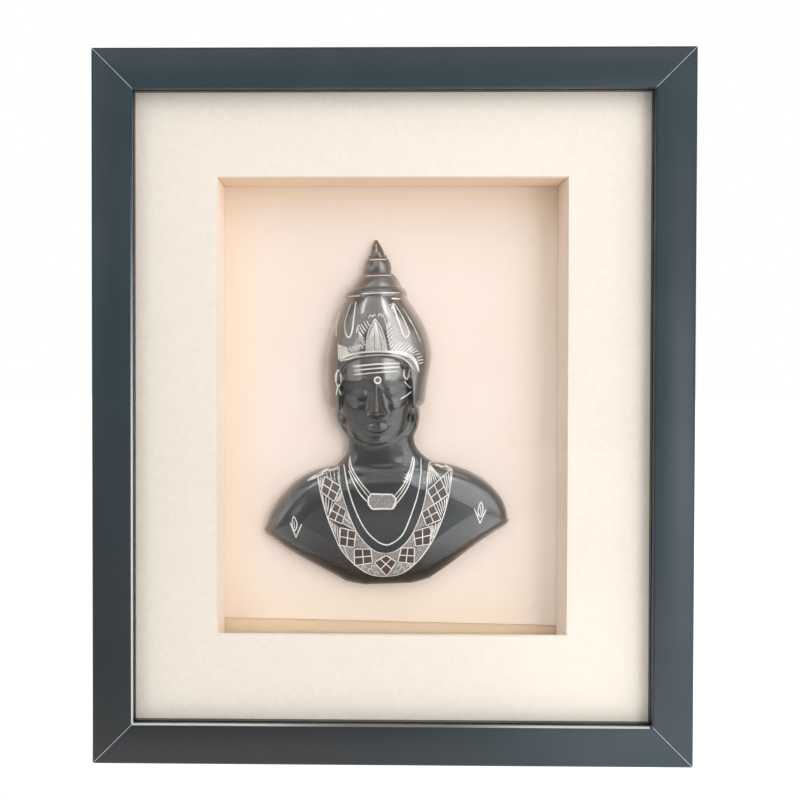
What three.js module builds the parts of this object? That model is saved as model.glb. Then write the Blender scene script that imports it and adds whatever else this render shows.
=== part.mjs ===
// Half-round cast bust with a tall tiered crown, mounted on a card in a deep glazed frame.
// Millimetres, +Z up, +X to the right. The glass faces -Y. The origin is the middle of the underside.
import * as THREE from "three";

// Frame
const openingWidth = 241;
const openingHeight = 294.5;
const railFace = 19;
const frameDepth = 45;
const lipWidth = 6.5;
const lipThickness = 4;
const faceCrown = 0.7;
const edgeRadius = 1.6;
const innerBevel = 0.7;
const gap = 0.3;

// Glazing, mat and the boards behind, from the front to the back
const glassThickness = 2;
const spacerThickness = 3.4;
const spacerWidth = 6;
const matThickness = 1.5;
const windowWidth = 164;
const windowHeight = 214.8;
const windowRise = 0.3;
const windowBevel = 0.5;
const wallDepth = 24.4;
const wallThickness = 5;
const floorDrop = 6;
const cardThickness = 0.5;
const cardEdgeLeft = 1.9;
const cardEdgeRight = -1.2;
const boardThickness = 2;
const panelThickness = 3;
const sheetClearance = 0.4;

// Fittings on the back
const tabLength = 15;
const tabWidth = 9;
const tabThickness = 0.6;
const sideTabSpread = 0.55;
const endTabSpread = 0.6;
const hangerWidth = 46;
const hangerHeight = 9;
const hangerThickness = 1;
const hangerBelowTop = 34;
const toothCount = 11;
const toothShare = 0.6;
const toothDepth = 1.6;
const hangerEarDrop = 0.35;

// Bust, in its own upright frame: x across from the crown's axis, z up from the cut edge
const bustLean = THREE.MathUtils.degToRad(2.2);
const bustFootX = -1.2;
const bustFootZ = 78.7;
const bustRows = { torso: 3.2, throat: 1.3, face: 1.35, crown: 2.8, tier: 1.25 };
const bustColumns = 36;
const edgeCrowding = 0.28;
const rowSeam = 0.12;
const rim = 2.4;
const torsoTop = 60;

const outerWidth = openingWidth + 2 * railFace;
const outerHeight = openingHeight + 2 * railFace;
const rabbetWidth = openingWidth + 2 * lipWidth;
const rabbetHeight = openingHeight + 2 * lipWidth;
const sheetWidth = rabbetWidth - 2 * sheetClearance;
const sheetHeight = rabbetHeight - 2 * sheetClearance;
const frontY = -frameDepth / 2;
const middleZ = outerHeight / 2;
const windowZ = middleZ + windowRise;

const glassY = frontY + lipThickness + gap;
const spacerY = glassY + glassThickness + gap;
const matY = spacerY + spacerThickness + gap;
const wallY = matY + matThickness + gap;
const cardY = wallY + wallDepth + gap;
const boardY = cardY + cardThickness + gap;
const panelY = boardY + boardThickness + gap;
const fittingY = panelY + panelThickness + gap;

const paint = new THREE.MeshStandardMaterial({ name: "slate_paint", color: 0x3b444b, roughness: 0.42 });
const blackMetal = new THREE.MeshStandardMaterial({
  name: "black_metal", color: 0x14161a, roughness: 0.18, metalness: 0.6,
});
const clear = new THREE.MeshStandardMaterial({
  name: "glass", color: 0xf4fbff, roughness: 0.02, transparent: true, opacity: 0.15,
});
const creamMat = new THREE.MeshStandardMaterial({ name: "mat_paper", color: 0xf3e8da, roughness: 0.9 });
const pinkCard = new THREE.MeshStandardMaterial({ name: "backing_paper", color: 0xf0dccf, roughness: 0.95 });
const foamCard = new THREE.MeshStandardMaterial({ name: "wall_paper", color: 0xd9c7b2, roughness: 0.95 });
const tanBoard = new THREE.MeshStandardMaterial({ name: "tan_board", color: 0xc2a078, roughness: 0.9 });
const blackStrip = new THREE.MeshStandardMaterial({
  name: "spacer_plastic", color: 0x17191b, roughness: 0.35,
});
const steel = new THREE.MeshStandardMaterial({
  name: "steel", color: 0xa9adb0, roughness: 0.4, metalness: 1,
});

const group = new THREE.Group();

function addMesh(name, geometry, material) {
  const mesh = new THREE.Mesh(geometry, material);
  mesh.name = name;
  group.add(mesh);
  return mesh;
}

function indexedGeometry(points, faces) {
  const geometry = new THREE.BufferGeometry();
  geometry.setAttribute("position", new THREE.Float32BufferAttribute(points.flat(), 3));
  geometry.setIndex(faces.flat());
  geometry.computeVertexNormals();
  return geometry;
}

function addBox(name, material, low, high) {
  const size = high.map((value, axis) => value - low[axis]);
  const mesh = addMesh(name, new THREE.BoxGeometry(...size), material);
  mesh.position.set(...high.map((value, axis) => (value + low[axis]) / 2));
  return mesh;
}

// Section of a rail: [distance in from the outer edge, distance back from the front], going round once
function railSection() {
  const section = [];
  const steps = 4;
  const faceSteps = 6;
  for (let i = 0; i <= steps; i++) {
    const turn = (Math.PI / 2) * (i / steps);
    section.push([
      edgeRadius * (1 - Math.cos(turn)),
      faceCrown + edgeRadius * (1 - Math.sin(turn)),
    ]);
  }
  const faceWidth = railFace - edgeRadius - innerBevel;
  for (let i = 1; i <= faceSteps; i++) {
    const across = i / faceSteps;
    section.push([edgeRadius + faceWidth * across, faceCrown * (1 - 4 * across * (1 - across))]);
  }
  section.push([railFace, faceCrown + innerBevel]);
  section.push([railFace, lipThickness]);
  section.push([railFace - lipWidth, lipThickness]);
  section.push([railFace - lipWidth, frameDepth]);
  section.push([0, frameDepth]);
  return section;
}

// A rail lying along X at the bottom of the frame, cut at 45 degrees at both ends
function mitredRail(length) {
  const section = railSection();
  const count = section.length;
  const points = [];
  for (const side of [-1, 1]) {
    for (const [inward, back] of section) {
      points.push([side * (length / 2 - inward - gap / 2), frontY + back, inward]);
    }
  }
  const faces = [];
  for (let i = 0; i < count; i++) {
    const next = (i + 1) % count;
    faces.push([i, count + i, next], [next, count + i, count + next]);
  }
  const flat = section.map(([inward, back]) => new THREE.Vector2(inward, back));
  for (const [a, b, c] of THREE.ShapeUtils.triangulateShape(flat, [])) {
    faces.push([a, b, c], [count + a, count + c, count + b]);
  }
  return outward(indexedGeometry(points, faces));
}

function signedVolume(geometry) {
  const position = geometry.getAttribute("position");
  const index = geometry.getIndex();
  const corners = [new THREE.Vector3(), new THREE.Vector3(), new THREE.Vector3()];
  let volume = 0;
  for (let i = 0; i < index.count; i += 3) {
    corners.forEach((corner, k) => corner.fromBufferAttribute(position, index.getX(i + k)));
    volume += corners[0].dot(corners[1].clone().cross(corners[2])) / 6;
  }
  return volume;
}

function outward(geometry) {
  if (signedVolume(geometry) < 0) {
    const index = geometry.getIndex().array;
    for (let i = 0; i < index.length; i += 3) {
      [index[i + 1], index[i + 2]] = [index[i + 2], index[i + 1]];
    }
    geometry.computeVertexNormals();
  }
  return geometry;
}

function addRails() {
  const sides = [
    ["rail_bottom", outerWidth, 0, [0, 0]],
    ["rail_right", outerHeight, -Math.PI / 2, [outerWidth / 2, middleZ]],
    ["rail_top", outerWidth, Math.PI, [0, outerHeight]],
    ["rail_left", outerHeight, Math.PI / 2, [-outerWidth / 2, middleZ]],
  ];
  for (const [name, length, turn, [x, z]] of sides) {
    const rail = addMesh(name, mitredRail(length), paint);
    rail.rotation.y = turn;
    rail.position.set(x, 0, z);
  }
}

function rectangle(width, height, y, centreZ) {
  return [[-1, -1], [1, -1], [1, 1], [-1, 1]].map(([x, z]) => [
    (x * width) / 2, y, centreZ + (z * height) / 2,
  ]);
}

// Flat board with a window whose edge is cut a little aslant, so that a hairline of the core shows
function matGeometry() {
  const backY = matY + matThickness;
  const rings = [
    rectangle(sheetWidth, sheetHeight, matY, middleZ),
    rectangle(windowWidth + 2 * windowBevel, windowHeight + 2 * windowBevel, matY, windowZ),
    rectangle(windowWidth, windowHeight, backY, windowZ),
    rectangle(sheetWidth, sheetHeight, backY, middleZ),
  ];
  const faces = [];
  rings.forEach((ring, r) => {
    const other = (r + 1) % rings.length;
    for (let i = 0; i < 4; i++) {
      const next = (i + 1) % 4;
      faces.push(
        [4 * r + i, 4 * r + next, 4 * other + i],
        [4 * r + next, 4 * other + next, 4 * other + i],
      );
    }
  });
  return outward(indexedGeometry(rings.flat(), faces));
}

// Four strips round a rectangle: the two uprights run the full height and the other two fit between them
function addStrips(prefix, material, inner, thickness, y, depth) {
  const [left, bottom, right, top] = inner;
  const back = y + depth;
  const low = bottom - thickness;
  const high = top + thickness;
  addBox(`${prefix}_left`, material, [left - thickness, y, low], [left, back, high]);
  addBox(`${prefix}_right`, material, [right, y, low], [right + thickness, back, high]);
  addBox(`${prefix}_bottom`, material, [left + gap, y, low], [right - gap, back, bottom]);
  addBox(`${prefix}_top`, material, [left + gap, y, top], [right - gap, back, high]);
}

function addBoards() {
  const halfWidth = sheetWidth / 2;
  const low = middleZ - sheetHeight / 2;
  const high = middleZ + sheetHeight / 2;
  const layer = (name, material, y, thickness) =>
    addBox(name, material, [-halfWidth, y, low], [halfWidth, y + thickness, high]);

  layer("glass_pane", clear, glassY, glassThickness);
  const spacerX = halfWidth - spacerWidth;
  addStrips("spacer", blackStrip, [-spacerX, low + spacerWidth, spacerX, high - spacerWidth],
    spacerWidth, spacerY, spacerThickness);
  addMesh("mat_board", matGeometry(), creamMat);
  addStrips("wall", foamCard,
    [-windowWidth / 2, windowZ - windowHeight / 2 - floorDrop, windowWidth / 2, windowZ + windowHeight / 2],
    wallThickness, wallY, wallDepth);
  layer("backing_board", tanBoard, boardY, boardThickness);
  layer("back_panel", tanBoard, panelY, panelThickness);
}

// The card's lower cut starts a little above the window's lower edge and runs down past it to the right
function addBackingCard() {
  const halfWidth = sheetWidth / 2;
  const windowBottom = windowZ - windowHeight / 2;
  const slope = (cardEdgeLeft - cardEdgeRight) / windowWidth;
  const middle = windowBottom + (cardEdgeLeft + cardEdgeRight) / 2;
  const high = middleZ + sheetHeight / 2;
  const outline = new THREE.Shape([
    new THREE.Vector2(-halfWidth, middle + slope * halfWidth),
    new THREE.Vector2(halfWidth, middle - slope * halfWidth),
    new THREE.Vector2(halfWidth, high),
    new THREE.Vector2(-halfWidth, high),
  ]);
  const card = new THREE.ExtrudeGeometry(outline, { depth: cardThickness, bevelEnabled: false });
  const mesh = addMesh("backing_card", card, pinkCard);
  mesh.rotation.x = Math.PI / 2;
  mesh.position.y = cardY + cardThickness;
}

// Thin steel points pushed into the rails, which hold the back panel
function addPoints() {
  const reach = rabbetWidth / 2 - gap;
  const rise = rabbetHeight / 2 - gap;
  const places = [];
  for (const side of [-1, 1]) {
    for (const end of [-1, 1]) {
      places.push([side * reach, middleZ + (end * sheetHeight * sideTabSpread) / 2, side, 0]);
      places.push([(side * sheetWidth * endTabSpread) / 2, middleZ + end * rise, 0, end]);
    }
  }
  places.forEach(([x, z, outX, outZ], i) => {
    const tab = new THREE.Shape();
    tab.moveTo(0, -tabWidth / 2);
    tab.lineTo(tabLength - tabWidth / 2, -tabWidth / 2);
    tab.absarc(tabLength - tabWidth / 2, 0, tabWidth / 2, -Math.PI / 2, Math.PI / 2, false);
    tab.lineTo(0, tabWidth / 2);
    const settings = { depth: tabThickness, bevelEnabled: false, curveSegments: 5 };
    const geometry = new THREE.ExtrudeGeometry(tab, settings);
    geometry.rotateX(Math.PI / 2);
    const mesh = addMesh(`point_${i + 1}`, geometry, steel);
    mesh.rotation.y = Math.atan2(outZ, -outX);
    mesh.position.set(x, fittingY + tabThickness, z);
  });
}

// Hanger plate with a row of teeth along its lower edge
function addHanger() {
  const plate = new THREE.Shape();
  const half = hangerWidth / 2;
  const toothRun = hangerWidth * toothShare;
  plate.moveTo(-half, hangerHeight * hangerEarDrop);
  plate.lineTo(-toothRun / 2, 0);
  for (let i = 0; i < toothCount; i++) {
    const start = -toothRun / 2 + (toothRun * i) / toothCount;
    plate.lineTo(start + toothRun / toothCount / 2, toothDepth);
    plate.lineTo(start + toothRun / toothCount, 0);
  }
  plate.lineTo(half, hangerHeight * hangerEarDrop);
  plate.lineTo(half, hangerHeight);
  plate.lineTo(-half, hangerHeight);
  plate.closePath();
  const geometry = new THREE.ExtrudeGeometry(plate, { depth: hangerThickness, bevelEnabled: false });
  geometry.rotateX(Math.PI / 2);
  const baseZ = outerHeight - hangerBelowTop;
  addMesh("hanger", geometry, steel).position.set(0, fittingY + hangerThickness, baseZ);
}

// Rise of a quarter circle: 0 at the edge, 1 from a radius inwards
function quarterRound(distance, radius) {
  const away = 1 - Math.min(Math.max(distance / radius, 0), 1);
  return Math.sqrt(1 - away * away);
}

function smoothStep(low, high, value) {
  const t = Math.min(Math.max((value - low) / (high - low), 0), 1);
  return t * t * (3 - 2 * t);
}

function bump(value, centre, reach) {
  const t = (value - centre) / reach;
  return Math.exp(-t * t);
}

function softMax(a, b, blend) {
  return (a + b + Math.hypot(a - b, blend)) / 2;
}

function softMin(a, b, blend) {
  return -softMax(-a, -b, blend);
}

// Half-widths up the bust. Each stage runs from its base to its top, with a swell between
const stages = [
  { base: 0, top: 2.4, baseWidth: 11, topWidth: 20.6, swell: 0.8, step: "tier" },
  { base: 2.4, top: 25.2, baseWidth: 20.6, topWidth: 55.9, swell: 0.8, step: "torso" },
  { base: 25.2, top: 31, baseWidth: 56, topWidth: 59.3, swell: 2, step: "tier" },
  {
    base: 31, top: 59, step: "torso",
    shoulder: { foot: 29, rise: 30.1, inner: 20, reach: 39.4, power: 1.75 },
  },
  { base: 59, top: 72, neck: { narrowest: 71, width: 15.8, flare: 0.055 }, step: "throat" },
  { base: 72, top: 86, baseWidth: 15.9, topWidth: 20.8, swell: 1.6, step: "face" },
  { base: 86, top: 89.5, baseWidth: 20.9, topWidth: 23.8, swell: 0.6, step: "face" },
  { base: 89.5, top: 110, baseWidth: 24, topWidth: 26.2, swell: 0.1, step: "face" },
  { base: 110, top: 140.6, dome: { foot: 110, width: 26.2, fall: 0.0262, power: 1.76 }, step: "crown" },
  { base: 140.6, top: 145.2, baseWidth: 15.7, topWidth: 13.2, swell: 0.7, step: "tier" },
  { base: 145.2, top: 152, baseWidth: 12.5, topWidth: 7.6, swell: 0.7, step: "tier" },
  { base: 152, top: 159.9, baseWidth: 6.6, topWidth: 4.7, swell: 0.9, step: "tier" },
  { base: 159.9, top: 161.2, baseWidth: 4.5, topWidth: 4.3, swell: 0.1, step: "tier" },
  { base: 161.2, top: 169, baseWidth: 3.5, topWidth: 0.5, swell: 0.45, step: "tier" },
];

// Slow sideways drift of the middle line: the shoulders to one side, the turned head to the other
const drifts = [
  { at: 44, reach: 14, by: 1.45 },
  { at: 18, reach: 8, by: -1.6 },
  { at: 90, reach: 18, by: -2.4 },
  { at: 138, reach: 9, by: -1.3 },
  { at: 160, reach: 9, by: 0.8 },
];

function stageWidth(stage, z) {
  if (stage.shoulder) {
    const { foot, rise, inner, reach, power } = stage.shoulder;
    const t = Math.min(Math.max((z - foot) / rise, 0), 1);
    return inner + reach * Math.sqrt(1 - t ** power);
  }
  if (stage.neck) {
    const { narrowest, width, flare } = stage.neck;
    return width + flare * (narrowest - z) ** 2;
  }
  if (stage.dome) {
    const { foot, width, fall, power } = stage.dome;
    return width - fall * Math.max(z - foot, 0) ** power;
  }
  const t = (z - stage.base) / (stage.top - stage.base);
  return stage.baseWidth + (stage.topWidth - stage.baseWidth) * t + stage.swell * 4 * t * (1 - t);
}

function middleLine(z) {
  return drifts.reduce((sum, drift) => sum + drift.by * bump(z, drift.at, drift.reach), 0);
}

// Heights up the bust where the surface is cut into rows, closer together where the form turns quickly
function rowHeights() {
  const made = [];
  stages.forEach((stage, number) => {
    const low = stage.base + (number ? rowSeam : 0);
    const high = stage.top - (number < stages.length - 1 ? rowSeam : 0);
    const count = Math.max(2, Math.round((high - low) / bustRows[stage.step]));
    for (let i = 0; i <= count; i++) {
      const z = low + ((high - low) * i) / count;
      made.push({ z, width: stageWidth(stage, z), middle: middleLine(z) });
    }
  });
  return made;
}

const rows = rowHeights();
const outlineSides = [-1, 1].map((side) => rows.map(({ z, width, middle }) => [middle + side * width, z]));

// Distance from a point of the bust's face to its outline
function edgeDistance(x, z) {
  let nearest = Math.max(z, 0);
  for (const side of outlineSides) {
    for (let i = 1; i < side.length; i++) {
      const [ax, az] = side[i - 1];
      const [bx, bz] = side[i];
      const along = ((x - ax) * (bx - ax) + (z - az) * (bz - az)) / ((bx - ax) ** 2 + (bz - az) ** 2);
      const t = Math.min(Math.max(along, 0), 1);
      nearest = Math.min(nearest, Math.hypot(x - ax - t * (bx - ax), z - az - t * (bz - az)));
    }
  }
  return nearest;
}

// Opening of the crown round the face, and the face's own thirds: hairline, brow, nose and chin
const face = { middle: -2.6, halfWidth: 17.6, bandTop: 112.4, bandDrop: 0.0125, chin: 67, third: 15.6 };
const brow = face.chin + 2 * face.third;
const noseBase = face.chin + face.third;
const mouthLine = noseBase - face.third / 3;
const eyeLine = brow - face.third / 4;
const eyeWidth = (2 * face.halfWidth + 2) / 5;

// Depths of the casting's forms in front of its back, each with where it starts and stops
const crownForm = { rimShare: 0.6, depth: 0.66, deeper: 0.2, from: 105, to: 165 };
const neckForm = { halfWidth: 17, depth: 8.6, from: 50, to: 60, fadeFrom: 84, fadeTo: 92 };
const earForm = { out: 19, width: 2.2, at: 80.5, tall: 4.4, depth: 4.6, edge: 3 };
const torsoForm = {
  depth: 6.6, edge: 7, chest: 4.6, halfWidth: 62, chestFrom: 48, chestTo: 64, chestEdge: 16,
};
const collarbone = { depth: 0.7, at: 56.5, slope: 0.02, tall: 1.6, out: 16, width: 9, from: 2, to: 6 };
const headForm = {
  lift: 3, depth: 14, fullness: 0.36, side: 1.6, centre: brow - 4, above: 46, below: 28.5, edge: 0.25,
};
const melt = { neck: 1.2, head: 0.8, opening: 5 };
const flap = { from: 85.6, to: 87.4 };
const openingEdge = { from: -0.9, to: 0.7 };

// Soft swells and hollows on both sides of the face's middle: distance out, width, place up, height, depth
const swells = [
  { form: "forehead", out: 0, width: 12, at: brow + 6, tall: 7, by: 0.8 },
  { form: "brow ridge", out: eyeWidth - 0.6, width: 5, at: brow + 1.4, tall: 2.6, by: 0.9 },
  { form: "eye socket", out: eyeWidth, width: 5.6, at: eyeLine + 0.3, tall: 4.2, by: -1.9 },
  { form: "inner corner", out: 3.2, width: 2, at: eyeLine + 0.8, tall: 3, by: -0.7 },
  { form: "closed lid", out: eyeWidth, width: 3.9, at: eyeLine - 0.1, tall: 2.5, by: 1.9 },
  { form: "nose tip", out: 0, width: 2.2, at: noseBase + 2, tall: 2.1, by: 0.8 },
  { form: "nostril wing", out: 3.2, width: 1.6, at: noseBase + 1.8, tall: 1.7, by: 1.3 },
  { form: "cheek", out: 9.8, width: 4.6, at: noseBase + 3.6, tall: 5, by: 1.2 },
  { form: "mouth", out: 0, width: 6.5, at: mouthLine, tall: 3.4, by: 0.6 },
  { form: "below the lips", out: 0, width: 5, at: mouthLine - 4.2, tall: 1.6, by: -0.6 },
  { form: "chin", out: 0, width: 4.6, at: face.chin + 3.4, tall: 3, by: 1.8 },
];
const nose = {
  depth: 1.4, tipDepth: 2.7, width: 2.2, tipWidth: 0.9, arch: 0.08, drop: 0.5,
  full: noseBase + 2, underFrom: -1.1, underTo: 1.7, fadeFrom: brow - 3, fadeTo: brow + 6,
};
const lips = { half: 0.78 * eyeWidth, upper: 1.9, lower: 2.5, corner: 0.3, depth: 1, lift: 0.45 };

// Positive inside the opening, negative outside, in millimetres
function insideOpening(x, z) {
  const across = x - face.middle;
  const top = face.bandTop - face.bandDrop * across * across;
  return softMin(face.halfWidth - Math.abs(across), top - z, melt.opening);
}

function crownHeight(x, z, row) {
  const ratio = crownForm.depth + crownForm.deeper * smoothStep(crownForm.from, crownForm.to, z);
  const u = Math.min(Math.abs((x - row.middle) / row.width), 1);
  return Math.min(rim, row.width * crownForm.rimShare) + ratio * row.width * Math.sqrt(1 - u * u);
}

function noseHeight(side, z) {
  const down = smoothStep(brow, nose.full, z);
  const base = noseBase - nose.drop + nose.arch * side * side;
  const under = smoothStep(nose.underFrom, nose.underTo, z - base)
    * (1 - smoothStep(nose.fadeFrom, nose.fadeTo, z));
  const depth = nose.depth + nose.tipDepth * down;
  return depth * under * bump(side, 0, nose.width + nose.tipWidth * down);
}

function lipHeight(side, z) {
  const out = Math.min(side / lips.half, 1);
  const full = Math.sqrt(1 - out * out);
  const seam = mouthLine + lips.lift * out * out;
  const above = (z - seam) / (lips.upper * full + lips.corner);
  const below = (seam - z) / (lips.lower * full + lips.corner);
  const away = Math.min(Math.max(above, below), 1);
  return lips.depth * full * (1 - away * away);
}

function faceHeight(x, z) {
  const across = (x - face.middle) / (face.halfWidth + headForm.side);
  const jaw = (z - headForm.centre) / (z > headForm.centre ? headForm.above : headForm.below);
  const oval = 1 - across * across - jaw * jaw;
  if (oval <= 0) {
    return 0;
  }
  const side = Math.abs(x - face.middle);
  const features = swells.reduce(
    (sum, { out, width, at, tall, by }) => sum + by * bump(side, out, width) * bump(z, at, tall),
    noseHeight(side, z) + lipHeight(side, z),
  );
  return headForm.lift + headForm.depth * oval ** headForm.fullness
    + features * smoothStep(0, headForm.edge, oval);
}

function neckHeight(x, z, row) {
  const u = Math.min(Math.abs((x - row.middle) / neckForm.halfWidth), 1);
  const rise = smoothStep(neckForm.from, neckForm.to, z);
  const fade = 1 - smoothStep(neckForm.fadeFrom, neckForm.fadeTo, z);
  return rim + neckForm.depth * Math.sqrt(1 - u * u) * rise * fade;
}

function earHeight(x, z, row, edge) {
  const out = Math.abs(x - row.middle);
  return earForm.depth * bump(out, earForm.out, earForm.width) * bump(z, earForm.at, earForm.tall)
    * quarterRound(edge, earForm.edge);
}

function torsoHeight(x, z, edge) {
  const across = 1 - Math.min((x / torsoForm.halfWidth) ** 2, 1);
  const chest = torsoForm.chest * across * (1 - smoothStep(torsoForm.chestFrom, torsoForm.chestTo, z));
  const bone = collarbone.depth * bump(Math.abs(x), collarbone.out, collarbone.width)
    * bump(z, collarbone.at - collarbone.slope * Math.abs(x), collarbone.tall);
  return rim + torsoForm.depth * quarterRound(edge, torsoForm.edge)
    + chest * smoothStep(0, torsoForm.chestEdge, edge)
    + bone * smoothStep(collarbone.from, collarbone.to, edge);
}

// Thickness of the casting in front of its flat back
function bustHeight(x, z, row) {
  const crown = crownHeight(x, z, row);
  if (z > face.bandTop + 1) {
    return crown;
  }
  const edge = edgeDistance(x, z);
  const body = softMax(torsoHeight(x, z, edge), neckHeight(x, z, row), melt.neck);
  if (z < torsoTop) {
    return body;
  }
  const flaps = smoothStep(flap.from, flap.to, z);
  const ears = (1 - flaps) * earHeight(x, z, row, edge);
  const head = softMax(body + ears, faceHeight(x, z), melt.head);
  const open = smoothStep(openingEdge.from, openingEdge.to, insideOpening(x, z));
  const shell = crown * flaps + body * (1 - flaps) + ears;
  return head * open + shell * (1 - open);
}

// Columns crowd a little towards the edge, where the casting curves away
function bustGeometry() {
  const points = [];
  const back = [];
  rows.forEach((row) => {
    for (let i = 0; i <= bustColumns; i++) {
      const t = (2 * i) / bustColumns - 1;
      const u = (1 - edgeCrowding) * t + edgeCrowding * Math.sin((Math.PI / 2) * t);
      const x = row.middle + u * row.width;
      points.push([x, -bustHeight(x, row.z, row), row.z]);
    }
    back.push([row.middle - row.width, 0, row.z], [row.middle + row.width, 0, row.z]);
  });
  const across = bustColumns + 1;
  const first = points.length;
  const faces = [];
  const quad = (a, b, c, d) => faces.push([a, b, c], [a, c, d]);
  for (let r = 0; r + 1 < rows.length; r++) {
    for (let i = 0; i < bustColumns; i++) {
      const a = r * across + i;
      quad(a, a + 1, a + 1 + across, a + across);
    }
    const backLeft = first + 2 * r;
    quad(backLeft + 1, backLeft, backLeft + 2, backLeft + 3);
    quad(backLeft, r * across, (r + 1) * across, backLeft + 2);
    quad(r * across + bustColumns, backLeft + 1, backLeft + 3, (r + 1) * across + bustColumns);
  }
  const last = rows.length - 1;
  for (let i = 0; i < bustColumns; i++) {
    faces.push([first, i + 1, i]);
    faces.push([first + 2 * last, last * across + i, last * across + i + 1]);
  }
  faces.push([first, first + 1, bustColumns]);
  faces.push([first + 2 * last, last * across + bustColumns, first + 2 * last + 1]);
  return outward(indexedGeometry([...points, ...back], faces));
}

function addBust() {
  const bust = addMesh("bust", bustGeometry(), blackMetal);
  bust.rotation.y = -bustLean;
  bust.position.set(bustFootX, cardY - gap, bustFootZ);
}

addRails();
addBoards();
addBackingCard();
addPoints();
addHanger();
addBust();

export default group;
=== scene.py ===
# Dresses a framed half-round bust: black cast metal inlaid with silver, on a card in a deep glazed frame.
import math

import bmesh
import bpy
import numpy as np
from bmesh.types import BMEdge, BMFace, BMVert
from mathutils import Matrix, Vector
from mathutils.bvhtree import BVHTree


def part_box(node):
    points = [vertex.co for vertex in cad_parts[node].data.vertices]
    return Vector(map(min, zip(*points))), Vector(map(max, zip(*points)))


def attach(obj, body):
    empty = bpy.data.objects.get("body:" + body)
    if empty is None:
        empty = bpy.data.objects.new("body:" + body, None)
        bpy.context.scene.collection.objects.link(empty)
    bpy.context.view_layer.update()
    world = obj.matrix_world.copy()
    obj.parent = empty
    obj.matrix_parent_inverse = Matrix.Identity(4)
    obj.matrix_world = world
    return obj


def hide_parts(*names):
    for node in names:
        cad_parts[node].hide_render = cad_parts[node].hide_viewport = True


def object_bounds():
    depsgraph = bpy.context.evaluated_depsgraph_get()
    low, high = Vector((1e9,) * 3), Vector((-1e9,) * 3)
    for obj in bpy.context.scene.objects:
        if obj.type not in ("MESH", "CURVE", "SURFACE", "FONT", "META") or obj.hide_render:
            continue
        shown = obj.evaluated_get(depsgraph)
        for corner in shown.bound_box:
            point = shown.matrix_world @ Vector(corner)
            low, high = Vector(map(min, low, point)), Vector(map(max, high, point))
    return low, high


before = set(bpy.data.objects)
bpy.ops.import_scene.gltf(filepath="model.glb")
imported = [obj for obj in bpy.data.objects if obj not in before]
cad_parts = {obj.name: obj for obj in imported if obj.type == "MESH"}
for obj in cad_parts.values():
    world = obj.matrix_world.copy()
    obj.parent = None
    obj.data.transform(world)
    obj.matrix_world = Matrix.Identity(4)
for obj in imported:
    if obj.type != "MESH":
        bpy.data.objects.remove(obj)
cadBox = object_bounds()
mm = 0.001
outerLow, outerHigh = cadBox
outerWidth = (outerHigh.x - outerLow.x) / mm
outerHeight = outerHigh.z / mm
frontY = outerLow.y / mm


# A socket that plain expressions can add, scale and compare; node() makes any other kind of node
class Wire:
    tree = None

    def __init__(self, socket):
        self.socket = socket

    @classmethod
    def node(cls, kind, settings=None, *values, out=0, **named):
        made = cls.tree.nodes.new("ShaderNode" + kind)
        for key, value in (settings or {}).items():
            setattr(made, key, value)
        inputs = [socket for socket in made.inputs if socket.enabled]
        outputs = [socket for socket in made.outputs if socket.enabled]
        filled = [(inputs[i], value) for i, value in enumerate(values)]
        filled += [(made.inputs[key.replace("_", " ")], value) for key, value in named.items()]
        for socket, value in filled:
            if isinstance(value, Wire):
                cls.tree.links.new(value.socket, socket)
            elif value is not None:
                wide = socket.type == "RGBA" and len(value) == 3
                socket.default_value = (*value, 1) if wide else value
        return cls(made.outputs[out] if isinstance(out, str) else outputs[out])

    def math(self, operation, *others):
        return Wire.node("Math", {"operation": operation}, self, *others)

    def __add__(self, other):
        return self.math("ADD", other)

    def __mul__(self, other):
        return self.math("MULTIPLY", other)

    def __sub__(self, other):
        return self.math("SUBTRACT", other)

    def __rsub__(self, other):
        return Wire.node("Math", {"operation": "SUBTRACT"}, other, self)

    def __abs__(self):
        return self.math("ABSOLUTE")

    def clamped(self):
        return Wire.node("Clamp", None, self, 0.0, 1.0)

    # 0 below low, 1 above high and a smooth rise between them
    def step(self, low, high):
        return Wire.node("MapRange", {"interpolation_type": "SMOOTHSTEP"}, self, low, high, 0.0, 1.0)

    def fall(self, low, high):
        return 1.0 - self.step(low, high)

    __radd__ = __add__
    __rmul__ = __mul__


def axes(wanted="XYZ"):
    split = Wire.node("SeparateXYZ", None, Wire.node("TexCoord", out="Object"))
    return [Wire(split.socket.node.outputs[name]) for name in wanted]


# Noise whose grains measure about size millimetres
def noise(size, detail=3.0, rough=0.5, stretch=(1, 1, 1)):
    at = Wire.node("Mapping", {"vector_type": "POINT"}, Wire.node("TexCoord", out="Object"), Scale=stretch)
    return Wire.node("TexNoise", None, at, out="Fac", Scale=1 / (size * mm), Detail=detail, Roughness=rough)


def blend(mask, first, second):
    return Wire.node("Mix", {"data_type": "RGBA"}, mask, first, second)


# Bumps up to depth millimetres high
def bump(height, depth):
    return Wire.node("Bump", out="Normal", Height=height, Distance=depth * mm, Strength=1.0)


def finish(name, fill, shown=(0.5, 0.5, 0.5)):
    made = bpy.data.materials.new(name)
    made.use_nodes = True
    made.diffuse_color = (*shown, 1)
    made.node_tree.nodes.clear()
    Wire.tree = made.node_tree
    settings = fill()
    shader = made.node_tree.nodes.new("ShaderNodeBsdfPrincipled")
    for key, value in settings.items():
        socket = shader.inputs[key]
        if isinstance(value, Wire):
            made.node_tree.links.new(value.socket, socket)
        else:
            socket.default_value = (*value, 1) if socket.type == "RGBA" else value
    end = made.node_tree.nodes.new("ShaderNodeOutputMaterial")
    made.node_tree.links.new(shader.outputs[0], end.inputs[0])
    return made


def linked(name, data):
    made = bpy.data.objects.new(name, data)
    bpy.context.collection.objects.link(made)
    return made


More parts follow.
